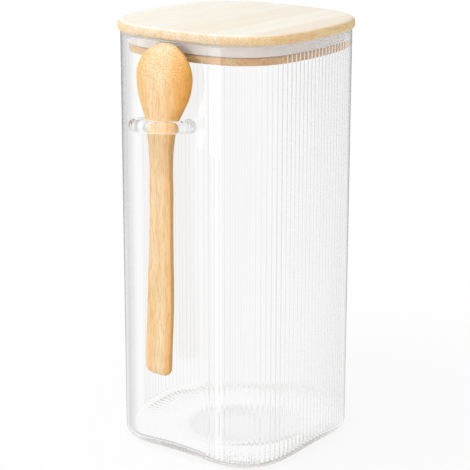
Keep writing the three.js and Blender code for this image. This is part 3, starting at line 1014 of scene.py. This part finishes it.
# %% What each kind of ray sees
def backdrop_level(tree, toward):
    """White to the camera, its own view to glass and to gloss, and FILL as light."""
    path = node(tree, "LightPath")
    through, lit = seen_through_glass(tree, toward), light_into_glass(tree, toward)
    glass = node(tree, "Mix", {0: path.outputs["Diffuse Depth"], 2: through, 3: lit}).outputs[0]
    mirrored = seen_in_gloss(tree, toward)
    level = FILL
    for kind, strength in (("Is Glossy Ray", mirrored), ("Is Transmission Ray", glass), ("Is Camera Ray", 1)):
        level = node(tree, "Mix", {0: path.outputs[kind], 2: level, 3: strength}).outputs[0]
    return level


print("as light, the studio's white is", FILL)

# %% [markdown]
# ## The table
#
# The table keeps the jar's shadow near the jar and turns to the backdrop's white further out, so no horizon
# crosses the picture. It could be a curved sweep, but a flat one that fades is simpler and looks the same.
# Glass and gloss don't see it, because its shadowed middle would grey the whole base. It lies a hair lower
# than the jar stands, because two faces in one plane would flicker.

# %% The table
TABLE_HALF = 6
TABLE_DROP = 0.05 * MM
SHADOW_REACH = (0.08, 0.35)
NEAR_WHITE = 0.88
TABLE_WHITE = linear("F7F7F8")


def table():
    shell = bmesh.new()
    corners = [(-1, -1), (1, -1), (1, 1), (-1, 1)]
    shell.faces.new([shell.verts.new((x * TABLE_HALF, y * TABLE_HALF, 0)) for x, y in corners])
    piece = finish_mesh("table", shell)
    material, tree = new_material("matt_white_table")
    spot = node(tree, "TexCoord").outputs["Object"]
    away = node(tree, "VectorMath", {0: spot}, operation="LENGTH").outputs["Value"]
    whiter = node(tree, "MapRange", {
        "Value": away, "From Min": SHADOW_REACH[0], "From Max": SHADOW_REACH[1], "To Min": NEAR_WHITE,
    }, interpolation_type="SMOOTHSTEP")
    path = node(tree, "LightPath")
    seen = node(tree, "Math", {0: whiter.outputs[0], 1: path.outputs["Is Camera Ray"]}, operation="MULTIPLY")
    matt = node(tree, "BsdfDiffuse", {"Color": TABLE_WHITE})
    white = node(tree, "Emission")
    both = node(tree, "MixShader", {0: seen.outputs[0], 1: matt.outputs[0], 2: white.outputs[0]})
    node(tree, "OutputMaterial", {"Surface": both.outputs[0]})
    piece.data.materials.append(material)
    piece.location.z = -TABLE_DROP
    piece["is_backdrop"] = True
    return piece


floor = table()
floor.visible_glossy = False
floor.visible_transmission = False
print("the table is", 2 * TABLE_HALF, "m wide")

# %% [markdown]
# ## The world and the lamps
#
# One large softbox is the key: it lights the wood and throws the soft shadow. The other lamps only show in
# gloss. Two windows lie as a pale veil on the glass before the lid's seal, an overhead box brightens rounded
# edges, and a strip draws the long highlight down the front corner. They could be emitting cards, but a lamp
# gives less noise.

# %% The world
def world():
    studio = bpy.data.worlds.new("white_studio")
    studio.use_nodes = True
    tree = studio.node_tree
    tree.nodes.clear()
    direction = node(tree, "TexCoord").outputs["Generated"]
    background = node(tree, "Background", {"Color": WHITE, "Strength": backdrop_level(tree, direction)})
    node(tree, "OutputWorld", {"Surface": background.outputs[0]})
    bpy.context.scene.world = studio
    return studio


print("the world is", world().name)

# %% The lamps
# Name, azimuth and elevation in degrees, then distance, width and height in metres, power in watts, and
# whether only gloss sees it.
LAMPS = [
    ("key", -29, 52, 1.4, 1.6, 1.6, 14, False),
    ("overhead", 0, 80, 1.2, 1.2, 1.2, 8, True),
    ("left_window", -38, 15, 1.1, 0.715, 0.826, 2.5, True),
    ("right_window", -10, 15, 1.1, 0.37, 0.826, 1.9, True),
    ("strip", -7.5, 0, 1.1, 0.305, 1.6, 2.6, True),
]
JAR_MIDDLE = Vector((0, 0, RIM_HEIGHT / 2))


def away_from_jar(azimuth, elevation):
    """A direction from two angles in degrees. Azimuth 0 is in front, and 90 is at +X."""
    a, e = math.radians(azimuth), math.radians(elevation)
    return Vector((math.sin(a) * math.cos(e), -math.cos(a) * math.cos(e), math.sin(e)))


def softbox(name, azimuth, elevation, distance, width, height, power, only_gloss):
    """A soft rectangular lamp that faces the jar."""
    data = bpy.data.lights.new(name, "AREA")
    data.shape = "RECTANGLE"
    data.size = width
    data.size_y = height
    data.energy = power
    lamp = bpy.data.objects.new(name, data)
    direction = away_from_jar(azimuth, elevation)
    lamp.location = JAR_MIDDLE + direction * distance
    lamp.rotation_euler = direction.to_track_quat("Z", "Y").to_euler()
    lamp.visible_diffuse = not only_gloss
    lamp.visible_transmission = False
    bpy.context.scene.collection.objects.link(lamp)


for lamp in LAMPS:
    softbox(*lamp)

# %% [markdown]
# ## The camera
#
# The photograph looks at the front corner from a little above. Its angle, distance and focal length were
# found by matching the jar's edges, and are given as real values here. The frame is 470 pixels wide, and its
# small shift is written in those pixels.

# %% Place the camera
FRAME_PIXELS = 470
CAMERA_AZIMUTH = 37
CAMERA_ELEVATION = 15.159
CAMERA_ROLL = math.radians(0.115)
CAMERA_DISTANCE = 800.375 * MM
CAMERA_TARGET = Vector((0, 0, 117.189 * MM))
FOCAL_PIXELS = 1625.506
SHIFT_PIXELS = (1.431, -30)


def photo_camera():
    data = bpy.data.cameras.new("photo_camera")
    data.sensor_width = 36
    data.lens = FOCAL_PIXELS / FRAME_PIXELS * data.sensor_width
    data.shift_x, data.shift_y = -SHIFT_PIXELS[0] / FRAME_PIXELS, SHIFT_PIXELS[1] / FRAME_PIXELS
    data.clip_start, data.clip_end = 0.01, 100
    camera = bpy.data.objects.new("photo_camera", data)
    direction = away_from_jar(CAMERA_AZIMUTH, CAMERA_ELEVATION)
    camera.location = CAMERA_TARGET + direction * CAMERA_DISTANCE
    level = direction.to_track_quat("Z", "Y").to_matrix()
    camera.rotation_euler = (level @ Matrix.Rotation(CAMERA_ROLL, 3, "Z")).to_euler()
    bpy.context.scene.collection.objects.link(camera)
    bpy.context.scene.camera = camera
    return camera


print("the lens is", round(photo_camera().data.lens, 1), "mm")

# %% [markdown]
# ## Colour and light paths
#
# Light can run along the glass wall for a long way before it comes out at the base, and where the bounces run
# out it turns black. So many are allowed. A clamp on indirect light keeps stray bright dots out of the ribs.

# %% Colour and light paths
BOUNCES = 128
BRIGHTEST_INDIRECT = 2
scene = bpy.context.scene
scene.view_settings.view_transform = "Standard"
scene.cycles.max_bounces = BOUNCES
scene.cycles.transmission_bounces = BOUNCES
scene.cycles.glossy_bounces = BOUNCES
scene.cycles.sample_clamp_indirect = BRIGHTEST_INDIRECT
print("a ray may turn", BOUNCES, "times")

# %% [markdown]
# ## Compare the boxes and finish
#
# The dressed jar has to fill the same box as the model that it dresses, so the difference of their corners is
# printed.

# %% Print how the two boxes differ
VISUAL_BOX = [list(corner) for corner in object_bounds()]
for side in (0, 1):
    grown = [round((v - c) / MM, 2) for v, c in zip(VISUAL_BOX[side], CAD_BOX[side])]
    print("visual corner less CAD corner, in mm:", grown)
